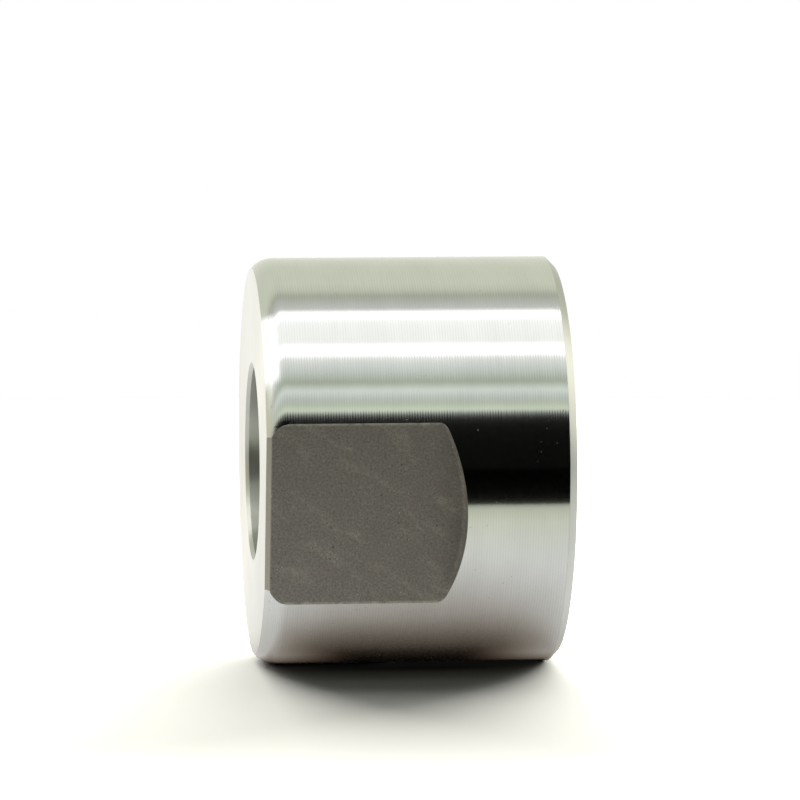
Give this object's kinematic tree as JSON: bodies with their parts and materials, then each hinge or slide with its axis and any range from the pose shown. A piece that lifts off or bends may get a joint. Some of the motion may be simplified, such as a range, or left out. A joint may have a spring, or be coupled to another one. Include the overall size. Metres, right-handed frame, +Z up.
{
  "type": "roller cam follower",
  "caption": "Cylindrical roller cam follower: ground steel body with a guide flat and an open bore at the push end, and a cam roller on a caged needle bearing inside the skirt.",
  "frame": {"origin": "on the body's axis, half way along its length", "axes": "+X along the body's axis towards the cam end, +Z up as the follower lies on its side, guide flat towards -Y and 11.1 degrees below the horizontal"},
  "size_m": [0.026, 0.035, 0.035],
  "materials": {
    "ground_steel": "cylindrically ground, fine lines round the body; the milled flat is dark and matt",
    "machined_steel": "turned and milled",
    "raceway_steel": "hardened and honed",
    "cage_steel": "pressed, satin",
    "bronze": "lapped",
    "spring_steel": "black phosphate"
  },
  "bodies": {
    "housing": {"follower_body": "ground_steel", "roller_carrier": "machined_steel", "thrust_pad": "raceway_steel", "locating_dowel": "raceway_steel", "retaining_ring": "spring_steel", "roller_pin": "raceway_steel"},
    "roller": {"cam_roller": "raceway_steel"},
    "cage": {"needle_cage": "cage_steel"},
    "washer_front": {"thrust_washer_front": "bronze"},
    "washer_rear": {"thrust_washer_rear": "bronze"},
    "needle_01_body": {"needle_01": "raceway_steel"},
    "needle_02_body": {"needle_02": "raceway_steel"},
    "needle_03_body": {"needle_03": "raceway_steel"},
    "needle_04_body": {"needle_04": "raceway_steel"},
    "needle_05_body": {"needle_05": "raceway_steel"},
    "needle_06_body": {"needle_06": "raceway_steel"},
    "needle_07_body": {"needle_07": "raceway_steel"},
    "needle_08_body": {"needle_08": "raceway_steel"},
    "needle_09_body": {"needle_09": "raceway_steel"},
    "needle_10_body": {"needle_10": "raceway_steel"},
    "needle_11_body": {"needle_11": "raceway_steel"},
    "needle_12_body": {"needle_12": "raceway_steel"}
  },
  "joints": [
    {"name": "roller_spin", "type": "hinge", "parent": "housing", "child": "roller", "pos_m": [0.0038, 0, 0], "axis": [0, 0.9813, 0.1925], "continuous": true},
    {"name": "cage_orbit", "type": "hinge", "parent": "housing", "child": "cage", "pos_m": [0.0038, 0, 0], "axis": [0, 0.9813, 0.1925], "continuous": true},
    {"name": "washer_front_spin", "type": "hinge", "parent": "housing", "child": "washer_front", "pos_m": [0.0038, 0, 0], "axis": [0, 0.9813, 0.1925], "continuous": true},
    {"name": "washer_rear_spin", "type": "hinge", "parent": "housing", "child": "washer_rear", "pos_m": [0.0038, 0, 0], "axis": [0, 0.9813, 0.1925], "continuous": true},
    {"name": "needle_01_spin", "type": "hinge", "parent": "cage", "child": "needle_01_body", "pos_m": [0.00807, 0, 0], "axis": [0, 0.9813, 0.1925], "continuous": true},
    {"name": "needle_02_spin", "type": "hinge", "parent": "cage", "child": "needle_02_body", "pos_m": [0.0075, -0.00041, 0.0021], "axis": [0, 0.9813, 0.1925], "continuous": true},
    {"name": "needle_03_spin", "type": "hinge", "parent": "cage", "child": "needle_03_body", "pos_m": [0.00594, -0.00071, 0.00363], "axis": [0, 0.9813, 0.1925], "continuous": true},
    {"name": "needle_04_spin", "type": "hinge", "parent": "cage", "child": "needle_04_body", "pos_m": [0.0038, -0.00082, 0.00419], "axis": [0, 0.9813, 0.1925], "continuous": true},
    {"name": "needle_05_spin", "type": "hinge", "parent": "cage", "child": "needle_05_body", "pos_m": [0.00167, -0.00071, 0.00363], "axis": [0, 0.9813, 0.1925], "continuous": true},
    {"name": "needle_06_spin", "type": "hinge", "parent": "cage", "child": "needle_06_body", "pos_m": [0.0001, -0.00041, 0.0021], "axis": [0, 0.9813, 0.1925], "continuous": true},
    {"name": "needle_07_spin", "type": "hinge", "parent": "cage", "child": "needle_07_body", "pos_m": [-0.00047, 0, 0], "axis": [0, 0.9813, 0.1925], "continuous": true},
    {"name": "needle_08_spin", "type": "hinge", "parent": "cage", "child": "needle_08_body", "pos_m": [0.0001, 0.00041, -0.0021], "axis": [0, 0.9813, 0.1925], "continuous": true},
    {"name": "needle_09_spin", "type": "hinge", "parent": "cage", "child": "needle_09_body", "pos_m": [0.00167, 0.00071, -0.00363], "axis": [0, 0.9813, 0.1925], "continuous": true},
    {"name": "needle_10_spin", "type": "hinge", "parent": "cage", "child": "needle_10_body", "pos_m": [0.0038, 0.00082, -0.00419], "axis": [0, 0.9813, 0.1925], "continuous": true},
    {"name": "needle_11_spin", "type": "hinge", "parent": "cage", "child": "needle_11_body", "pos_m": [0.00594, 0.00071, -0.00363], "axis": [0, 0.9813, 0.1925], "continuous": true},
    {"name": "needle_12_spin", "type": "hinge", "parent": "cage", "child": "needle_12_body", "pos_m": [0.0075, 0.00041, -0.0021], "axis": [0, 0.9813, 0.1925], "continuous": true}
  ],
  "couplings": [
    {"joint": "cage_orbit", "follows": "roller_spin", "ratio": 0.59016},
    {"joint": "needle_01_spin", "follows": "roller_spin", "ratio": 2.7541},
    {"joint": "needle_02_spin", "follows": "roller_spin", "ratio": 2.7541},
    {"joint": "needle_03_spin", "follows": "roller_spin", "ratio": 2.7541},
    {"joint": "needle_04_spin", "follows": "roller_spin", "ratio": 2.7541},
    {"joint": "needle_05_spin", "follows": "roller_spin", "ratio": 2.7541},
    {"joint": "needle_06_spin", "follows": "roller_spin", "ratio": 2.7541},
    {"joint": "needle_07_spin", "follows": "roller_spin", "ratio": 2.7541},
    {"joint": "needle_08_spin", "follows": "roller_spin", "ratio": 2.7541},
    {"joint": "needle_09_spin", "follows": "roller_spin", "ratio": 2.7541},
    {"joint": "needle_10_spin", "follows": "roller_spin", "ratio": 2.7541},
    {"joint": "needle_11_spin", "follows": "roller_spin", "ratio": 2.7541},
    {"joint": "needle_12_spin", "follows": "roller_spin", "ratio": 2.7541}
  ]
}
